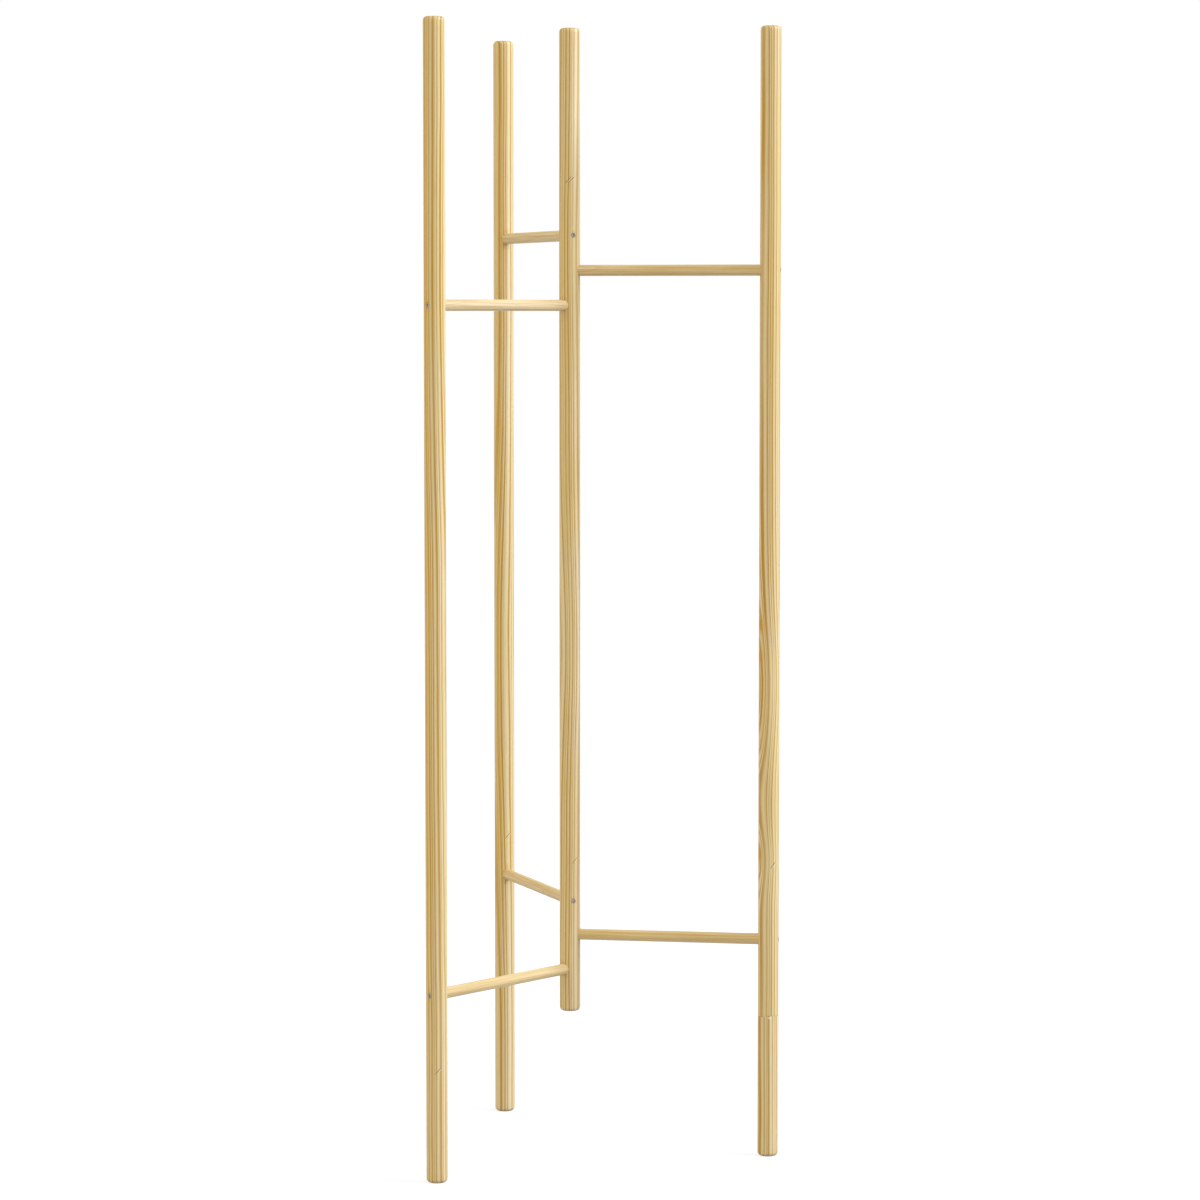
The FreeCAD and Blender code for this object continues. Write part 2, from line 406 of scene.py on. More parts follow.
BORE_SIDES = 64
POST_ROUNDING_STEPS = 8
RUNG_ROUNDING_STEPS = 3
MERGE_REACH = 1e-6
SHARP_TURN = math.radians(32)
# How far one cutter runs into the next
OVERLAP = 0.0005
# Rows of faces along one turn of a thread
THREAD_STEPS = 6
DRIVE_SIDES = 6
# Lead-in of a screw's drive: its radius at the mouth and at the foot, as shares of the drive's own
MOUTH_SHARE = 1.04
FOOT_SHARE = 0.84
# How much softer the lines are on faces that lie along the rings, and how narrow those faces are
FLAT_SOFTNESS = 0.6
FLAT_POWER = 8.0
# Upright part of a face's normal at which end grain starts to show, and at which it shows in full
END_GRAIN_RANGE = (0.25, 0.85)


def new_tree(name, inputs):
    """A Geometry Nodes tree with named inputs, and a wire from each of them."""
    tree = bpy.data.node_groups.new(name, "GeometryNodeTree")
    tree.interface.new_socket("Geometry", in_out="OUTPUT", socket_type="NodeSocketGeometry")
    for label, kind in inputs.items():
        tree.interface.new_socket(label, in_out="INPUT", socket_type=kind)
    entry = tree.nodes.new("NodeGroupInput")
    return tree, {label: Wire(tree, entry.outputs[label]) for label in inputs}


def position(tree):
    """Place of each point."""
    return Wire.of(tree, "GeometryNodeInputPosition")


def rotation(tree, axis, turn):
    """A turn about an axis."""
    return Wire.of(tree, "FunctionNodeAxisAngleToRotation", {"Axis": axis, "Angle": turn})


def turned_surface(tree, sides, rows, profile):
    """A closed surface turned about Z. The profile gives radius and height for a row and a bearing."""
    grid = Wire.of(tree, "GeometryNodeMeshGrid",
                   {"Size X": 1.0, "Size Y": 1.0, "Vertices X": sides + 1, "Vertices Y": rows + 1})
    across, along, _ = position(tree).parts()
    bearing = (across + 0.5) * FULL_TURN
    radius, height = profile((along + 0.5) * rows, bearing)
    spot = combine(tree, radius * bearing.math("COSINE"), radius * bearing.math("SINE"), height)
    wrapped = Wire.of(tree, "GeometryNodeSetPosition", {"Geometry": grid, "Position": spot})
    return Wire.of(tree, "GeometryNodeMergeByDistance", {"Geometry": wrapped, "Distance": MERGE_REACH})


def rod(tree, feed):
    """A round rod that stands on the origin, with both ends rounded."""
    radius = feed["Diameter"] * 0.5
    rounding = feed["End Rounding"]
    steps = feed["Rounding Steps"]
    rows = feed["Rows"]
    last = steps * 2 + rows + 2
    row_height = (feed["Length"] - rounding * 2) / rows

    def profile(row, _bearing):
        from_end = row.math("MINIMUM", last - row)
        arc = ((from_end - 1) / steps).clamped() * QUARTER_TURN
        off_axis = from_end.math("GREATER_THAN", 0.5)
        out = off_axis * (radius - rounding * (1 - arc.math("SINE")))
        straight = (from_end - 1 - steps).math("MAXIMUM", 0.0) * row_height
        inset = rounding * (1 - arc.math("COSINE")) + straight
        upper = row.math("GREATER_THAN", last * 0.5)
        return out, inset + upper * (feed["Length"] - inset * 2)

    return turned_surface(tree, feed["Sides"], last, profile)


def drill(tree, diameter, start, end, onto_x=None):
    """A cutter along Z from start to end, or along X where the turn onto X is given."""
    cutter = Wire.of(tree, "GeometryNodeMeshCylinder",
                     {"Vertices": BORE_SIDES, "Radius": diameter * 0.5, "Depth": end - start})
    middle = (start + end) * 0.5
    if onto_x is None:
        move = {"Translation": combine(tree, 0.0, 0.0, middle)}
    else:
        move = {"Translation": combine(tree, middle, 0.0, 0.0), "Rotation": onto_x}
    return Wire.of(tree, "GeometryNodeTransform", {"Geometry": cutter, **move})


def cut(body, cutters):
    """Takes the cutters away from a closed body."""
    return Wire.of(body.tree, "GeometryNodeMeshBoolean", {"Mesh 1": body, "Mesh 2": cutters},
                   operation="DIFFERENCE", solver="MANIFOLD")


def store(geometry, name, kind, value):
    """Keeps a value on each point under a name."""
    return Wire.of(geometry.tree, "GeometryNodeStoreNamedAttribute",
                   {"Geometry": geometry, "Name": name, "Value": value}, data_type=kind, domain="POINT")


def grained(geometry, feed):
    """Keeps each point's place in its log, the strength of its lines, and how much end grain it shows."""
    tree = geometry.tree
    cosine = feed["Log Turn"].math("COSINE")
    sine = feed["Log Turn"].math("SINE")
    x, y, z = position(tree).parts()
    log_x = x * cosine + y * sine
    log_y = y * cosine - x * sine
    place = combine(tree, log_x + z * feed["Log Lean"], log_y, z) + feed["Log Place"]
    placed = store(geometry, "timber", "FLOAT_VECTOR", place)
    # Lines look softer on faces that lie along the rings
    normal_x, normal_y, normal_z = Wire.of(tree, "GeometryNodeInputNormal").parts()
    flat = (normal_x * cosine + normal_y * sine).math("ABSOLUTE").math("POWER", FLAT_POWER)
    lined = store(placed, "figure", "FLOAT", feed["Figure"] * (1 - flat * FLAT_SOFTNESS))
    crossing = smooth(normal_z.math("ABSOLUTE"), *END_GRAIN_RANGE)
    return store(lined, "end_grain", "FLOAT", crossing)


def finished(geometry, material):
    """Smooth faces with sharp edges where they turn, made real and given their material. Ends a tree."""
    tree = geometry.tree
    faces = Wire.of(tree, "GeometryNodeSetShadeSmooth", {"Geometry": geometry, "Shade Smooth": True},
                    domain="FACE")
    crease = Wire.of(tree, "GeometryNodeInputMeshEdgeAngle", output="Unsigned Angle")
    sharp = crease.math("GREATER_THAN", SHARP_TURN)
    edges = Wire.of(tree, "GeometryNodeSetShadeSmooth",
                    {"Geometry": faces, "Selection": sharp, "Shade Smooth": False}, domain="EDGE")
    real = Wire.of(tree, "GeometryNodeRealizeInstances", {"Geometry": edges})
    dressed = Wire.of(tree, "GeometryNodeSetMaterial", {"Geometry": real, "Material": material})
    Wire.of(tree, "NodeGroupOutput", {"Geometry": dressed})


def inputs_of(kind, *labels):
    """Inputs of one kind for a tree."""
    return dict.fromkeys(labels, "NodeSocket" + kind)


TIMBER_INPUTS = {
    **inputs_of("Geometry", "Geometry"),
    **inputs_of("Float", "Length", "Diameter", "End Rounding", "Log Turn", "Log Lean", "Figure"),
    **inputs_of("Int", "Sides", "Rows", "Rounding Steps"),
    **inputs_of("Vector", "Log Place"),
    **inputs_of("Material", "Material"),
}
BORE_INPUTS = inputs_of("Float", "Socket Diameter", "Socket Floor", "Recess Diameter", "Recess Seat",
                        "Hole Diameter")
PILOT_INPUTS = inputs_of("Float", "Pilot Diameter", "Pilot Depth")
SHAPE_INPUTS = {
    **inputs_of("Float", "Head Diameter", "Head Height", "Rim", "Drive Width", "Drive Depth",
                "Shank Diameter", "Point", "Thread Length", "Thread Pitch", "Thread Depth"),
    **inputs_of("Int", "Sides"),
}
SCREW_INPUTS = {
    **inputs_of("Geometry", "Geometry"),
    **SHAPE_INPUTS,
    **inputs_of("Float", "Length"),
    **inputs_of("Int", "Thread Rows", "Point Rows"),
    **inputs_of("Material", "Material"),
}


def at_joints(tree, spots, shape):
    """A shape set at each joint spot, turned to the spot's own bearing about Z."""
    bearing = Wire.of(tree, "GeometryNodeInputNamedAttribute", {"Name": "bearing"}, data_type="FLOAT")
    return Wire.of(tree, "GeometryNodeInstanceOnPoints",
                   {"Points": spots, "Instance": shape, "Rotation": rotation(tree, Z_AXIS, bearing)})


def post_tree():
    """Turns a post, and bores a socket, a screw hole and a head recess through it at each joint."""
    tree, feed = new_tree("turned_post", {**TIMBER_INPUTS, **BORE_INPUTS})
    onto_x = rotation(tree, Y_AXIS, QUARTER_TURN)
    outside = feed["Diameter"]
    floor = feed["Socket Floor"]
    seat = feed["Recess Seat"]
    socket = drill(tree, feed["Socket Diameter"], floor, outside, onto_x)
    hole = drill(tree, feed["Hole Diameter"], 0 - seat - OVERLAP, floor + OVERLAP, onto_x)
    recess = drill(tree, feed["Recess Diameter"], 0 - outside, 0 - seat, onto_x)
    cutters = [at_joints(tree, feed["Geometry"], shape) for shape in (socket, hole, recess)]
    finished(grained(cut(rod(tree, feed), cutters), feed), feed["Material"])
    return tree


def rung_tree():
    """Turns a rung, with a pilot hole in each end."""
    tree, feed = new_tree("turned_rung", {**TIMBER_INPUTS, **PILOT_INPUTS})
    top = feed["Length"]
    depth = feed["Pilot Depth"]
    low_pilot = drill(tree, feed["Pilot Diameter"], 0 - depth, depth)
    high_pilot = drill(tree, feed["Pilot Diameter"], top - depth, top + depth)
    finished(grained(cut(rod(tree, feed), [low_pilot, high_pilot]), feed), feed["Material"])
    return tree


def screw_tree():
    """Turns one screw from its sizes, with its thread, cuts its drive, and sets it at each joint spot."""
    tree, feed = new_tree("screws", SCREW_INPUTS)
    head = feed["Head Diameter"] * 0.5
    shank = feed["Shank Diameter"] * 0.5
    rim = feed["Rim"]
    thread_start = feed["Length"] - feed["Thread Length"]
    # Rows, rise along the screw and growth of its radius, from one corner of its outline to the next
    outline = (
        (1, 0.0, head - rim),
        (1, rim, rim),
        (1, feed["Head Height"] - rim, 0.0),
        (1, 0.0, shank - head),
        (1, thread_start - feed["Head Height"], 0.0),
        (feed["Thread Rows"], feed["Thread Length"] - feed["Point"], 0.0),
        (feed["Point Rows"], feed["Point"], 0.0 - shank),
    )

    def profile(row, bearing):
        radius = 0.0
        height = 0.0
        first = 0
        for rows, rise, growth in outline:
            reached = ((row - first) / rows).clamped()
            height = height + reached * rise
            radius = radius + reached * growth
            first = first + rows
        turns = (height - thread_start) / feed["Thread Pitch"]
        round_turn = (turns - bearing / FULL_TURN).math("FRACT")
        groove = (round_turn * 2 - 1).math("ABSOLUTE") * smooth(turns, 0.0, 1.0)
        return radius * (1 - groove * feed["Thread Depth"] / shank), height

    blank = turned_surface(tree, feed["Sides"], sum(rows for rows, _, _ in outline), profile)
    corner_radius = feed["Drive Width"] / math.sqrt(3)
    drive = Wire.of(tree, "GeometryNodeMeshCylinder",
                    {"Vertices": DRIVE_SIDES, "Radius": corner_radius, "Depth": feed["Drive Depth"] * 2})
    lead_in = Wire.of(tree, "GeometryNodeMeshCone",
                      {"Vertices": BORE_SIDES, "Radius Top": corner_radius * FOOT_SHARE,
                       "Radius Bottom": corner_radius * MOUTH_SHARE, "Depth": rim})
    screw = store(cut(blank, [drive, lead_in]), "turned", "FLOAT_VECTOR", position(tree))
    lying = Wire.of(tree, "GeometryNodeTransform",
                    {"Geometry": screw, "Rotation": rotation(tree, Y_AXIS, QUARTER_TURN)})
    finished(at_joints(tree, feed["Geometry"], lying), feed["Material"])
    return tree


def add_object(name, data):
    """A new object in the scene."""
    item = bpy.data.objects.new(name, data)
    bpy.context.scene.collection.objects.link(item)
    return item


def grow(name, tree, spots, values):
    """Runs a tree on joint spots, each a place and a bearing, and keeps the result as a plain mesh."""
    points = bpy.data.meshes.new(name + "_spots")
    points.from_pydata([place for place, _ in spots], [], [])
    bearings = points.attributes.new("bearing", "FLOAT", "POINT")
    for entry, (_, bearing) in zip(bearings.data, spots):
        entry.value = bearing
    holder = add_object(name + "_spots", points)
    modifier = holder.modifiers.new("tree", "NODES")
    modifier.node_group = tree
    for item in tree.interface.items_tree:
        if item.in_out == "INPUT" and item.name in values:
            modifier[item.identifier] = values[item.name]
    depsgraph = bpy.context.evaluated_depsgraph_get()
    mesh = bpy.data.meshes.new_from_object(holder.evaluated_get(depsgraph), preserve_all_data_layers=True,
                                           depsgraph=depsgraph)
    holder.modifiers.remove(modifier)
    bpy.data.objects.remove(holder)
    bpy.data.meshes.remove(points)
    if not mesh.polygons:
        raise RuntimeError(f"the tree made no faces for {name}")
    mesh.name = name
    # The tree leaves an empty material slot in front of its own
    mesh.materials.clear()
    mesh.materials.append(values["Material"])
    return mesh


def add_piece(name, mesh, nodes):
    """Shows a mesh in place of nodes of the frame."""
    piece = add_object(name, mesh)
    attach(piece, BODY)
    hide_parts(*nodes)


# How each piece was sawn from its log

class Grain(NamedTuple):
    """How a piece lay in its log: degrees from X to the bark, place, lean, and strength of its lines."""

    turn: float
    heart: float
    side: float
    along: float
    lean: float = 0.0
    figure: float = 1.0


# The rungs are of plain wood with faint lines
PLAIN = 0.25
GRAIN = {
    "centre_post": Grain(14.0, 0.104, 0.004, 0.0),
    "left_post": Grain(8.0, 0.107, -0.006, 2.1, 0.0045),
    "right_post": Grain(-158.0, 0.102, 0.003, 4.3, 0.0, 1.4),
    "back_post": Grain(40.0, 0.086, 0.002, 6.7),
    "left_rung_lower": Grain(20.0, 0.072, 0.0, 9.0, 0.0, PLAIN),
    "left_rung_upper": Grain(-35.0, 0.077, 0.0, 9.6, 0.0, PLAIN),
    "right_rung_lower": Grain(5.0, 0.069, 0.0, 10.2, 0.0, PLAIN),
    "right_rung_upper": Grain(60.0, 0.071, 0.0, 10.8, 0.0, PLAIN),
    "back_rung_lower": Grain(-15.0, 0.075, 0.0, 11.4, 0.0, PLAIN),
    "back_rung_upper": Grain(40.0, 0.079, 0.0, 12.0, 0.0, PLAIN),
}


class Spot(NamedTuple):
    """A soft spot in a post: bearing in degrees, height, amount in its middle, reach across and along."""

    post: str
    bearing: float
    height: float
    amount: float
    across: float
    along: float


# Knots inside the posts: how far the rings bulge there
KNOTS = (
    Spot("right_post", -168.0, 0.680, 0.0120, 0.034, 0.110),
    Spot("right_post", -168.0, 0.540, -0.0030, 0.030, 0.060),
    Spot("right_post", -168.0, 0.430, 0.0060, 0.026, 0.040),
    Spot("back_post", -106.0, 0.680, 0.0090, 0.018, 0.300),
    Spot("centre_post", -150.0, 0.740, -0.0070, 0.030, 0.140),
    Spot("centre_post", -50.0, 1.270, 0.0030, 0.030, 0.160),
    Spot("left_post", -60.0, 1.250, 0.0030, 0.040, 0.200),
)
# Resin in the wood: how much stronger the lines are there, or weaker where it is below nothing
RESIN = (
    Spot("back_post", -114.0, 0.700, 1.4, 0.006, 0.500),
    Spot("back_post", -80.0, 0.680, -0.5, 0.010, 0.160),
    Spot("right_post", -172.0, 0.640, 0.3, 0.014, 0.320),
    Spot("back_post", -90.0, 1.400, 0.8, 0.009, 0.300),
    Spot("right_post", -90.0, 1.150, 0.45, 0.022, 0.500),
    Spot("right_post", -150.0, 1.460, 0.7, 0.009, 0.080),
    Spot("right_post", -162.0, 1.300, -0.7, 0.010, 0.420),
    Spot("right_post", -172.0, 0.080, -1.0, 0.012, 0.180),
    Spot("centre_post", -58.0, 0.980, 0.7, 0.007, 0.060),
    Spot("left_post", -142.0, 1.000, 1.0, 0.013, 0.900),
)
# Small pockets of resin at the surface
POCKETS = (
    Spot("right_post", -150.0, 0.770, 1.5, 0.0065, 0.011),
    Spot("right_post", -154.0, 0.724, 1.4, 0.0060, 0.010),
    Spot("right_post", -154.0, 0.440, 1.5, 0.0060, 0.013),
)
# Small nicks in the posts: post, bearing in degrees, height, and side steps of the nick's lines
NICKS = (
    ("centre_post", -88.0, 1.4036, (0.0, 0.0042)),
    ("centre_post", -51.2, 0.4242, (0.0,)),
    ("back_post", -59.0, 0.4243, (0.0,)),
    ("left_post", -72.0, 0.1594, (0.0,)),
    ("right_post", -58.2, 0.4238, (0.0,)),
)
NICK_SLOPE = math.radians(48)
NICK_LENGTH = 0.0160
NICK_WIDTH = 0.0016
LIP_STEP = 0.0020
LIP_LENGTH = 0.0112
# Splice in a post, where two lengths of timber meet, with a pale chip at the joint
SPLICE_HEIGHT = 0.2040
SPLICE_STEP = 0.0013
SPLICE_LINE = 0.0007
SPLICE_CORE = 0.00021
SPLICE_SHIFT = (0.0090, 0.0046, 0.83)
SPLICE_BEARING = -100.0
CHIP_BEARING = -73.0
CHIP_HEIGHT = 0.2024
CHIP_LENGTH = 0.0075
CHIP_WIDTH = 0.0034
# A mark belongs to its post up to this share of the post's radius
NEAR_SHARE = 1.1
# Share of a short line's length and width at which it starts to fade
LINE_CORE = 0.2
# Noise that follows the timber: steps to a metre across the log and along it, and detail
DRIFT = (16.0, 3.2, 1.0)
RIPPLE = (90.0, 14.0, 1.0)
FADE = (70.0, 2.4, 1.0)
STREAK = (420.0, 9.0, 2.0)
FIBRE = (1100.0, 30.0, 2.0)
DASH = (700.0, 22.0, 0.0)
TINT = (22.0, 2.6, 1.0)
# Ranges of noise over which a pattern comes in
SOFT_RANGE = (0.3, 0.7)
FADE_RANGE = (0.3, 0.6)
DASH_RANGE = (0.66, 0.78)
# How far the rings wander
DRIFT_REACH = 0.004
RIPPLE_REACH = 0.0009
# Good and poor years: radians to each ring, and how many rings they move a line
YEAR_SWINGS = ((2.1, 0.2), (0.83, 0.3))
# Spreads the strength of the lines evenly over the years
GOLDEN_SHARE = (math.sqrt(5) - 1) / 2
# Parts of a ring over which its line, and the false line of a weak year, come and go
LATE_LINE = ((0.50, 0.76), (0.90, 0.98))
FALSE_LINE = ((0.02, 0.12), (0.16, 0.30))
# Strength of the line of the weakest year, and of its false line
WEAKEST_YEAR = 0.55
FALSE_STRENGTH = 0.7
# Groups of lines and bands of colour across the log: steps to each ring, and where they start
GROUP_RATE = 0.45
GROUP_START = 3.0
BAND_RATE = 0.3
BAND_START = 7.0
# Share of its strength that a faded line keeps, and the strength of a full one
FADED = 0.7
LINE_STRENGTH = 1.55
# Plain wood: strength of its colour between streaks, and of the streaks
PLAIN_STRENGTH = 0.16
STREAK_STRENGTH = 0.4
# How much of the warm colour comes from drifts, bands and resin
DRIFT_WARMTH = 0.3
BAND_WARMTH = 0.25
RESIN_WARMTH = 0.6
# Brightness between the fibres, what a fibre adds, and what a dash takes away
FIBRE_BASE = 0.93
FIBRE_LIGHT = 0.14
DASH_SHADE = 0.08
# How fully the marks take on their colours. The lips' colour is a painted highlight, and the ends'
# darkening is partly painted shade.
END_SHADE = 0.3
LIP_HIGHLIGHT = 0.6
CHIP_LIGHT = 0.9
NICK_SHADE = 0.85
SEAM_SHADE = 0.35
# What fibres, lines and end grain add to the roughness or take from it
FIBRE_MEAN = 0.05
FIBRE_ROUGH = 0.12
LINE_GLOSS = 0.05
END_ROUGH = 0.15
# Heights of fibres and lines, and depth of nicks, as shares of the relief
FIBRE_RELIEF = 0.5
LINE_RELIEF = 0.6
NICK_RELIEF = 4.0
PINE_BUMP = 0.6
PINE_IOR = 1.5


# Materials

def new_material(name):
    """An empty node material."""
    material = bpy.data.materials.new(name)
    material.use_nodes = True
    material.node_tree.nodes.clear()
    return material


def give_surface(tree, relief, strength, height, sockets):
    """Ends a material's tree with a surface in relief."""
    bump = Wire.of(tree, "ShaderNodeBump", {"Strength": strength, "Distance": height, "Height": relief})
    shader = Wire.of(tree, "ShaderNodeBsdfPrincipled", {**sockets, "Normal": bump})
    Wire.of(tree, "ShaderNodeOutputMaterial", {"Surface": shader})


def from_axis(place, post):
    """Place as measured from a post's axis at the floor."""
    axis = post_foot(post)
    return place - (axis.x, axis.y, 0.0)


def around(place, post, bearing):
    """Level distance round a post from a bearing, and whether a point is on that side of that post."""
    turn = math.radians(bearing)
    off_axis = from_axis(place, post)
    depth = dot(off_axis, (math.cos(turn), math.sin(turn), 0.0))
    step = dot(off_axis, (-math.sin(turn), math.cos(turn), 0.0))
    reach = post_radius(post) * NEAR_SHARE
    on_side = depth.math("GREATER_THAN", 0.0) * depth.math("LESS_THAN", reach)
    return step, on_side * step.math("ABSOLUTE").math("LESS_THAN", reach)


def largest(wires):
    """The largest of several wires."""
    total = wires[0]
    for wire in wires[1:]:
        total = total.math("MAXIMUM", wire)
    return total


def line_mask(step, rise, slope, span, width):
    """A short slanting line: 1 on it and 0 off it."""
    along = step * math.cos(slope) + rise * math.sin(slope)
    across = rise * math.cos(slope) - step * math.sin(slope)
    in_span = 1 - smooth(along.math("ABSOLUTE"), span * LINE_CORE, span / 2)
    return in_span * (1 - smooth(across.math("ABSOLUTE"), width * LINE_CORE, width / 2))


def nick_masks(place, height):
    """Two masks for all the nicks: the dark lines, and the raised lips beside them, which take a painted
    highlight.
    """
    lines = []
    lips = []
    for post, bearing, nick_height, sides in NICKS:
        step, near = around(place, post, bearing)
        rise = height - nick_height
        for side in sides:
            lines.append(near * line_mask(step - side, rise, NICK_SLOPE, NICK_LENGTH, NICK_WIDTH))
            lips.append(near * line_mask(step - side - LIP_STEP, rise, NICK_SLOPE, LIP_LENGTH, NICK_WIDTH))
    return largest(lines), largest(lips)


def splice_masks(place, height):
    """Three masks for the splice: the timber below it, its seam, and the pale chip at the seam."""
    step, _ = around(place, SPLICED_POST, SPLICE_BEARING)
    off_axis = from_axis(place, SPLICED_POST) * (1.0, 1.0, 0.0)
    reach = post_radius(SPLICED_POST) * NEAR_SHARE
    on_post = dot(off_axis, off_axis).math("LESS_THAN", reach ** 2)
    rise = height - SPLICE_HEIGHT - step.math("GREATER_THAN", 0.0) * SPLICE_STEP
    below = on_post * rise.math("LESS_THAN", 0.0)
    seam = on_post * (1 - smooth(rise.math("ABSOLUTE"), SPLICE_CORE, SPLICE_LINE))
    chip_step, near_chip = around(place, SPLICED_POST, CHIP_BEARING)
    chip = near_chip * line_mask(chip_step, height - CHIP_HEIGHT, 0.0, CHIP_LENGTH, CHIP_WIDTH)
    return below, seam, chip


def sum_of_spots(place, spots):
    """The amounts of soft spots, added up at each place."""
    total = 0.0
    for spot in spots:
        turn = math.radians(spot.bearing)
        axis = post_foot(spot.post)
        radius = post_radius(spot.post)
        middle = (axis.x + radius * math.cos(turn), axis.y + radius * math.sin(turn), spot.height)
        offset = (place - middle) * (1 / spot.across, 1 / spot.across, 1 / spot.along)
        total = total + (0 - dot(offset, offset)).math("EXPONENT") * spot.amount
    return total


def woven(timber, across, along, detail):
    """Noise in the timber, drawn out along the log."""
    return noise(timber * (across, across, along), detail)


def ring_number(place, timber, spacing):
    """Rings counted out from the log's heart, wandering a little and bulging at the knots."""
    across_x, across_y, _ = timber.parts()
    log_radius = (across_x * across_x + across_y * across_y).math("SQRT")
    drift = (woven(timber, *DRIFT) - 0.5) * DRIFT_REACH
    ripple = (woven(timber, *RIPPLE) - 0.5) * RIPPLE_REACH
    even = (log_radius + sum_of_spots(place, KNOTS) + drift + ripple) / spacing
    # Good and poor years follow each other unevenly
    rings = even
    for rate, reach in YEAR_SWINGS:
        rings = rings + (even * rate).math("SINE") * reach
    return rings


def growth_lines(timber, rings, resin):
    """Strength of the growth lines. Strong ones stand among weak ones, and resin adds to them."""
    phase = rings.math("FRACT")
    vigour = (rings.math("FLOOR") * GOLDEN_SHARE).math("FRACT")
    late = between(phase, *LATE_LINE) * at_least(WEAKEST_YEAR, vigour)
    false_line = between(phase, *FALSE_LINE) * (1 - vigour) * FALSE_STRENGTH
    # Lines come and go in groups across the log, and fade along it
    group = smooth(line_noise(rings * GROUP_RATE + GROUP_START), *FADE_RANGE)
    fade = smooth(woven(timber, *FADE), *FADE_RANGE)
    weight = at_least(FADED, group) * at_least(FADED, fade) * LINE_STRENGTH + resin
    return (late.math("MAXIMUM", false_line) * weight).clamped()


def pine(look):
    """Sanded and oiled pine with growth lines, fibres, resin, nicks and a splice; the nicks' lips take a
    painted highlight and the rounded ends partly painted shade.
    """
    material = new_material(PINE)
    tree = material.node_tree
    place = Wire.of(tree, "ShaderNodeTexCoord", output="Object")
    height = place.parts()[2]
    figure = attribute(tree, "figure", "Fac")
    end_grain = attribute(tree, "end_grain", "Fac")
    nick, lip = nick_masks(place, height)
    below, seam, chip = splice_masks(place, height)

    # Below the splice the timber is another length
    timber = attribute(tree, "timber", "Vector") + below * SPLICE_SHIFT
    rings = ring_number(place, timber, look.ring)
    resin = sum_of_spots(place, RESIN)
    resinous = resin.clamped()
    streaks = PLAIN_STRENGTH + smooth(woven(timber, *STREAK), *SOFT_RANGE) * STREAK_STRENGTH
    lines = blend(figure, streaks, growth_lines(timber, rings, resin), "FLOAT")

    # Fibres, resin dashes and broad drifts of colour
    fibre = woven(timber, *FIBRE)
    dash = smooth(woven(timber, *DASH), *DASH_RANGE)
    drifts = smooth(woven(timber, *TINT), *SOFT_RANGE)
    bands = smooth(line_noise(rings * BAND_RATE + BAND_START), *SOFT_RANGE)
    warm = drifts * DRIFT_WARMTH + bands * BAND_WARMTH + resinous * resinous * RESIN_WARMTH

    pale = blend(warm, rgba(look.early), rgba(look.warm))
    dark = blend(resinous, rgba(look.late), rgba(look.resin))
    lined = blend(lines, pale, dark)
    fibred = lined * (FIBRE_BASE + fibre * FIBRE_LIGHT - dash * DASH_SHADE)
    pocket = sum_of_spots(place, POCKETS).math("MINIMUM", 1.0)
    soaked = blend(pocket, fibred, rgba(look.resin))
    # The rounded ends darken towards the nick colour: partly end grain's own darker tone, partly painted
    # shade meant for the undersides of the feet, though the tops darken too
    end_grain_and_shade = blend(end_grain * END_SHADE, soaked, rgba(look.nick))
    # Painted highlight on the raised lips beside the nicks, and the real pale wood of the chip at the
    # splice
    lip_highlight_and_chip = blend((lip * LIP_HIGHLIGHT).math("MAXIMUM", chip * CHIP_LIGHT), end_grain_and_shade, rgba(look.lip))
    marked = blend((nick * NICK_SHADE).math("MAXIMUM", seam * SEAM_SHADE), lip_highlight_and_chip, rgba(look.nick))

    rough = look.sheen - FIBRE_MEAN + fibre * FIBRE_ROUGH - lines * LINE_GLOSS + end_grain * END_ROUGH
    relief = fibre * FIBRE_RELIEF + lines * LINE_RELIEF + lip - nick * NICK_RELIEF - seam
    sockets = {"Base Color": marked, "Roughness": rough, "IOR": PINE_IOR}
    give_surface(tree, relief, PINE_BUMP, look.relief, sockets)
    return material


# Turning marks and specks in the plating: steps to a metre, and the range over which specks come in
MARK_STEPS = 9000.0
SPECK_STEPS = 2600.0
SPECK_DETAIL = 2.0
SPECK_RANGE = (0.58, 0.80)
# Where the drive and the rim start, as shares of the sizes they are measured by
DRIVE_START = 0.6
DRIVE_REACH = 0.6
RIM_REACH = 1.2
# What the rim's painted shade and the specks take from the colour, and what marks and rims change in the
# roughness
PAINTED_RIM_SHADE = 0.2
SPECK_WEAR = 0.1
MARK_MEAN = 0.06
MARK_ROUGH = 0.12
RIM_ROUGH = 0.15
SPECK_RELIEF = 0.5
STEEL_BUMP = 0.3
STEEL_RELIEF = 0.00003


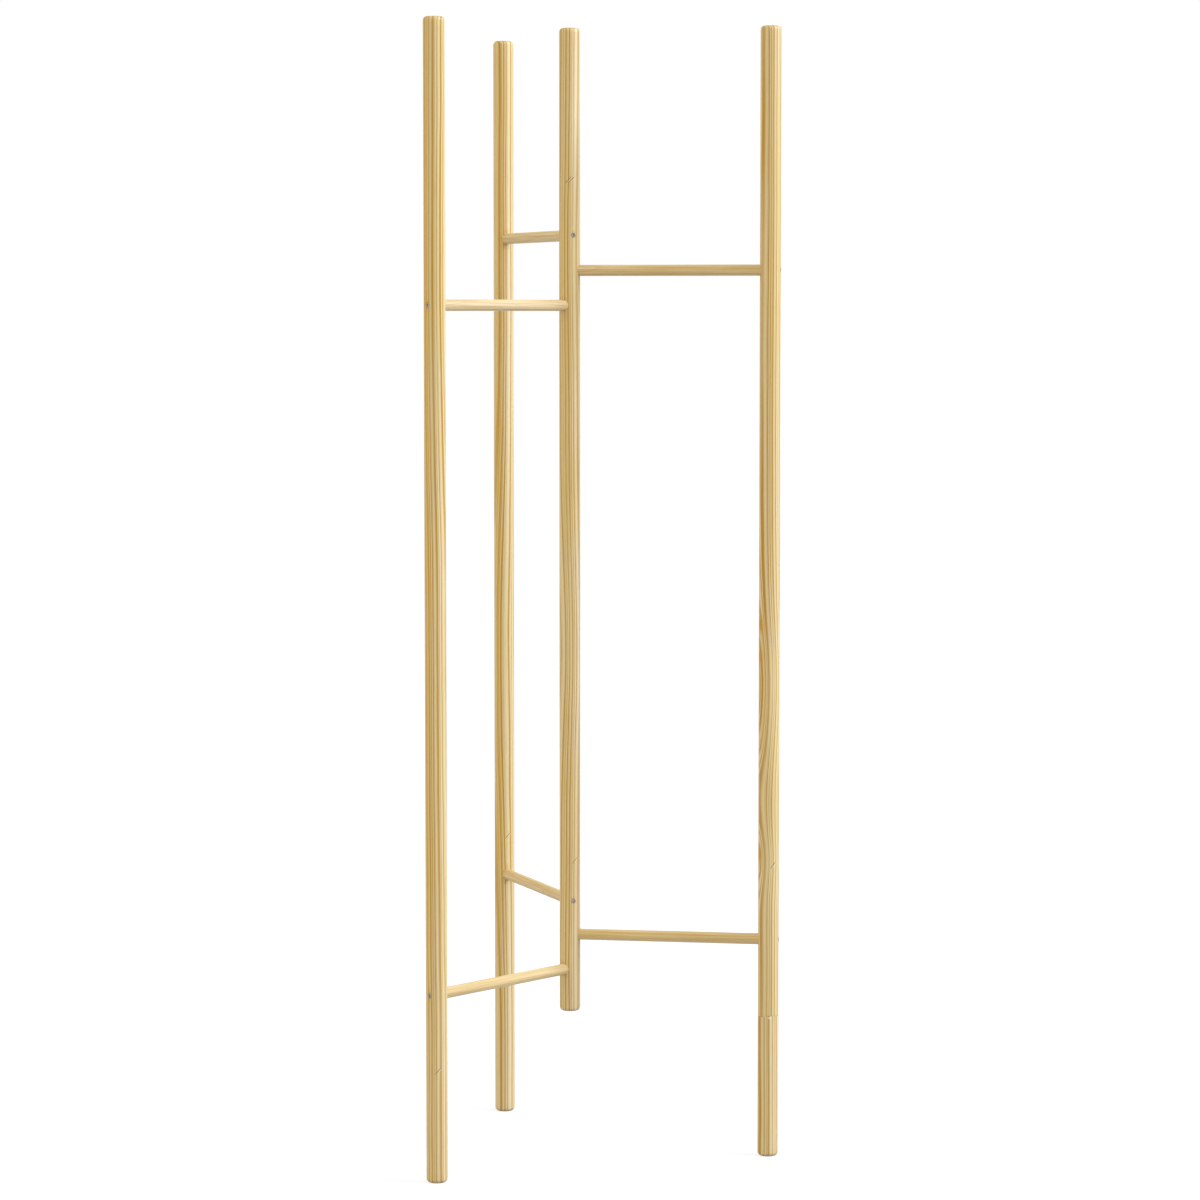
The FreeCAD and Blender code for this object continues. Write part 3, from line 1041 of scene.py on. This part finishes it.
def screw_steel(look, sizes):
    """Plated steel with turning marks, with painted light that brightens the drive and painted shade at
    the head's rim.
    """
    material = new_material(STEEL)
    tree = material.node_tree
    turned = attribute(tree, "turned", "Vector")
    x, y, depth = turned.parts()
    radius = (x * x + y * y).math("SQRT")
    head = sizes.head_diameter * 0.5
    marks = line_noise(radius * MARK_STEPS)
    specks = noise(turned * SPECK_STEPS, SPECK_DETAIL)
    inner = radius.math("LESS_THAN", sizes.drive_width * DRIVE_REACH)
    # Painted light: the drive takes the lighter colour, lifting the shade in it
    drive_light_mask = smooth(depth, sizes.rim * DRIVE_START, sizes.drive_depth) * inner
    at_rim = smooth(radius, head - sizes.rim * RIM_REACH, head)
    # Darker towards the head's rim: painted shade where the head meets its recess. The specks are the
    # plating's own
    rim_shade_and_specks = 1 - at_rim * PAINTED_RIM_SHADE - smooth(specks, *SPECK_RANGE) * SPECK_WEAR
    tint = blend(drive_light_mask, rgba(look.face), rgba(look.bright)) * rim_shade_and_specks
    rough = look.roughness - MARK_MEAN + marks * MARK_ROUGH + at_rim * RIM_ROUGH
    grazing = rgba([look.edge] * 3)
    sockets = {"Base Color": tint, "Roughness": rough, "Metallic": 1.0, "Specular Tint": grazing}
    give_surface(tree, marks + specks * SPECK_RELIEF, STEEL_BUMP, STEEL_RELIEF, sockets)
    return material


# Operators

def row_count(span, row_length):
    """An even number of rows, none longer than asked."""
    return 2 * math.ceil(span / row_length / 2)


def size_values(sizes, labels):
    """Inputs of a tree, read from the settings of the same names."""
    return {label: getattr(sizes, label.lower().replace(" ", "_")) for label in labels}


def timber_values(scene, node, span, bores):
    """Inputs that all timber has: its rows and sides, its bores, its place in its log and its material."""
    sizes = scene.wardrobe_timber
    grain = GRAIN[node]
    return {
        "Length": span,
        "Rows": row_count(span, sizes.row_length),
        **size_values(sizes, ("Sides", *bores)),
        "Log Turn": math.radians(grain.turn),
        "Log Place": (grain.heart, grain.side, grain.along),
        "Log Lean": grain.lean,
        "Figure": grain.figure,
        "Material": bpy.data.materials.get(PINE) or pine(scene.wardrobe_pine),
    }


class WARDROBE_OT_turn_posts(Operator):
    """Turns the four posts and bores their joints"""

    bl_idname = "wardrobe.turn_posts"
    bl_label = "Turn posts"

    def execute(self, context):
        scene = context.scene
        sizes = scene.wardrobe_timber
        tree = post_tree()
        for post in POSTS:
            foot = post_foot(post)
            spots = []
            for arm, inward in joints_of(post):
                for level in LEVELS:
                    height = box_middle(rung_name(arm, level)).z - foot.z
                    spots.append(((0.0, 0.0, height), bearing_of(inward)))
            values = {
                "Diameter": sizes.post_diameter,
                "End Rounding": sizes.post_rounding,
                "Rounding Steps": POST_ROUNDING_STEPS,
                **timber_values(scene, post, box_size(post).z, BORE_INPUTS),
            }
            mesh = grow("turned_" + post, tree, spots, values)
            mesh.transform(Matrix.Translation(foot))
            add_piece("turned_" + post, mesh, [post])
        return {"FINISHED"}


class WARDROBE_OT_turn_rungs(Operator):
    """Turns the six rungs and sets them in their sockets"""

    bl_idname = "wardrobe.turn_rungs"
    bl_label = "Turn rungs"

    def execute(self, context):
        scene = context.scene
        sizes = scene.wardrobe_timber
        tree = rung_tree()
        up = Vector(Z_AXIS)
        centre = box_middle(CENTRE_POST)
        for arm in ARMS:
            direction = arm_direction(arm)
            for level in LEVELS:
                node = rung_name(arm, level)
                values = {
                    "Diameter": sizes.rung_diameter,
                    "End Rounding": sizes.rung_rounding,
                    "Rounding Steps": RUNG_ROUNDING_STEPS,
                    **timber_values(scene, node, sizes.rung_length, PILOT_INPUTS),
                }
                mesh = grow("turned_" + node, tree, [], values)
                start = Vector((centre.x, centre.y, box_middle(node).z)) + direction * sizes.socket_floor
                # The rung's own X points up, its Y level across, and its Z along the arm
                lay = Matrix((up, direction.cross(up), direction)).transposed().to_4x4()
                mesh.transform(Matrix.Translation(start) @ lay)
                add_piece("turned_" + node, mesh, [node])
        return {"FINISHED"}


class WARDROBE_OT_drive_screws(Operator):
    """Drives a screw into each end of each rung"""

    bl_idname = "wardrobe.drive_screws"
    bl_label = "Drive screws"

    def execute(self, context):
        scene = context.scene
        sizes = scene.wardrobe_screws
        spots = []
        nodes = []
        for arm in ARMS:
            for level in LEVELS:
                height = box_middle(rung_name(arm, level)).z
                for end, (post, inward) in rung_ends(arm).items():
                    axis = post_foot(post)
                    head = Vector((axis.x, axis.y, height)) - inward * sizes.head_reach
                    spots.append((head, bearing_of(inward)))
                    nodes.append(screw_name(arm, level, end))
        row_length = sizes.thread_pitch / THREAD_STEPS
        values = {
            **size_values(sizes, SHAPE_INPUTS),
            "Length": sizes.screw_length,
            "Thread Rows": row_count(sizes.thread_length - sizes.point, row_length),
            "Point Rows": row_count(sizes.point, row_length),
            "Material": bpy.data.materials.get(STEEL) or screw_steel(scene.wardrobe_steel, sizes),
        }
        add_piece("screws", grow("screws", screw_tree(), spots, values), nodes)
        return {"FINISHED"}


CAMERA_PLACE = (0.9034, -5.5520, 1.2145)
CAMERA_SENSOR = 36.0
LAMP_AIM = Vector((0.0, 0.0, 0.8))
KEY_PLACE = Vector((6.83, 0.0, 5.65))
KEY_WIDTH = 2.0
FILL_PLACE = Vector((-5.5, -2.6, 2.2))
FILL_WIDTH = 3.5
FLOOR_HALF = 60.0
FLOOR_CORNERS = ((-1, -1), (1, -1), (1, 1), (-1, 1))
# Share of the even light that the floor shows over its own glow, so that shadows on it are faint
FLOOR_VEIL = 0.32


def add_camera(scene, setup):
    """The camera, set as the scene's own."""
    lens = bpy.data.cameras.new("camera")
    lens.lens = setup.lens
    lens.sensor_width = CAMERA_SENSOR
    camera = add_object("camera", lens)
    camera.location = CAMERA_PLACE
    camera.rotation_euler = (QUARTER_TURN - setup.tilt, 0.0, setup.turn)
    scene.camera = camera


def add_lamp(name, place, width, light, tint):
    """A round soft lamp aimed at the frame, set by the light it gives on a white surface that faces it."""
    lamp = bpy.data.lights.new(name, "AREA")
    lamp.shape = "DISK"
    lamp.size = width
    lamp.color = tint
    reach = LAMP_AIM - place
    # The lamp's power spreads out by pi, and a white surface spreads what it receives by pi again
    lamp.energy = light * math.pi ** 2 * reach.length_squared
    holder = add_object(name, lamp)
    holder.location = place
    holder.rotation_euler = reach.to_track_quat("-Z", "Y").to_euler()
    holder.visible_camera = False


def shown_or_lighting(tree, lighting, shown):
    """One shader for the rays that carry light, and another for those that show the background itself."""
    rays = Wire.of(tree, "ShaderNodeLightPath", output="Is Camera Ray")
    kinds = [rays, rays.other("Is Glossy Ray"), rays.other("Is Transmission Ray")]
    return Wire.of(tree, "ShaderNodeMixShader", {0: largest(kinds), 1: lighting, 2: shown})


def add_surround(scene, setup):
    """Even light from all round, and white where the surround itself is seen."""
    world = bpy.data.worlds.new("studio")
    scene.world = world
    world.use_nodes = True
    tree = world.node_tree
    tree.nodes.clear()
    sky = Wire.of(tree, "ShaderNodeBackground",
                  {"Color": rgba(setup.sky_tint), "Strength": setup.sky})
    surround = Wire.of(tree, "ShaderNodeBackground", {"Color": WHITE, "Strength": 1.0})
    Wire.of(tree, "ShaderNodeOutputWorld", {"Surface": shown_or_lighting(tree, sky, surround)})


def floor_paint(setup):
    """White to the eye with a faint shadow, and a plain grey for the light that it gives back."""
    paint = new_material("floor_paint")
    tree = paint.node_tree
    # The tint of the even light is taken out again, so that the floor stays white
    veil = [FLOOR_VEIL / part for part in setup.sky_tint]
    bounce = Wire.of(tree, "ShaderNodeBsdfDiffuse", {"Color": rgba([setup.floor_bounce] * 3)})
    shade = Wire.of(tree, "ShaderNodeBsdfDiffuse", {"Color": rgba(veil)})
    glow = Wire.of(tree, "ShaderNodeEmission", {"Color": WHITE, "Strength": setup.floor_glow})
    eye = Wire.of(tree, "ShaderNodeAddShader", {0: glow, 1: shade})
    Wire.of(tree, "ShaderNodeOutputMaterial", {"Surface": shown_or_lighting(tree, bounce, eye)})
    return paint


def add_floor(setup):
    """A wide level floor under the feet."""
    ground = bpy.data.meshes.new("floor")
    corners = [(x * FLOOR_HALF, y * FLOOR_HALF, 0.0) for x, y in FLOOR_CORNERS]
    ground.from_pydata(corners, [], [(0, 1, 2, 3)])
    ground.materials.append(floor_paint(setup))
    add_object("floor", ground)


class WARDROBE_OT_set_studio(Operator):
    """Sets the camera, the lamps, the pale floor and the white surround"""

    bl_idname = "wardrobe.set_studio"
    bl_label = "Set studio"

    def execute(self, context):
        scene = context.scene
        setup = scene.wardrobe_studio
        add_camera(scene, setup)
        add_lamp("key_lamp", KEY_PLACE, KEY_WIDTH, setup.key, setup.key_tint)
        add_lamp("fill_lamp", FILL_PLACE, FILL_WIDTH, setup.fill, setup.fill_tint)
        add_surround(scene, setup)
        add_floor(setup)
        scene.view_settings.view_transform = "Standard"
        return {"FINISHED"}


SETTINGS = {
    "wardrobe_timber": TimberSizes,
    "wardrobe_screws": ScrewSizes,
    "wardrobe_pine": PineLook,
    "wardrobe_steel": SteelLook,
    "wardrobe_studio": StudioSetup,
}
OPERATORS = (
    WARDROBE_OT_turn_posts,
    WARDROBE_OT_turn_rungs,
    WARDROBE_OT_drive_screws,
    WARDROBE_OT_set_studio,
)


class WARDROBE_PT_sidebar(Panel):
    """Settings and steps of the open frame wardrobe"""

    bl_idname = "WARDROBE_PT_sidebar"
    bl_label = "Open frame wardrobe"
    bl_space_type = "VIEW_3D"
    bl_region_type = "UI"
    bl_category = "Wardrobe"

    def draw(self, context):
        for name, group in SETTINGS.items():
            column = self.layout.box().column()
            for setting in group.__annotations__:
                column.prop(getattr(context.scene, name), setting)
        for operator in OPERATORS:
            self.layout.operator(operator.bl_idname)


CLASSES = (*SETTINGS.values(), *OPERATORS, WARDROBE_PT_sidebar)


def register():
    """Adds the settings, operators and panel to Blender."""
    for item in CLASSES:
        bpy.utils.register_class(item)
    for name, group in SETTINGS.items():
        setattr(bpy.types.Scene, name, PointerProperty(type=group))


def unregister():
    """Takes the settings, operators and panel out of Blender."""
    for name in SETTINGS:
        delattr(bpy.types.Scene, name)
    for item in reversed(CLASSES):
        bpy.utils.unregister_class(item)


def main():
    """Builds the wardrobe and its studio."""
    register()
    bpy.ops.wardrobe.turn_posts()
    bpy.ops.wardrobe.turn_rungs()
    bpy.ops.wardrobe.drive_screws()
    bpy.ops.wardrobe.set_studio()


if __name__ == "__main__":
    main()
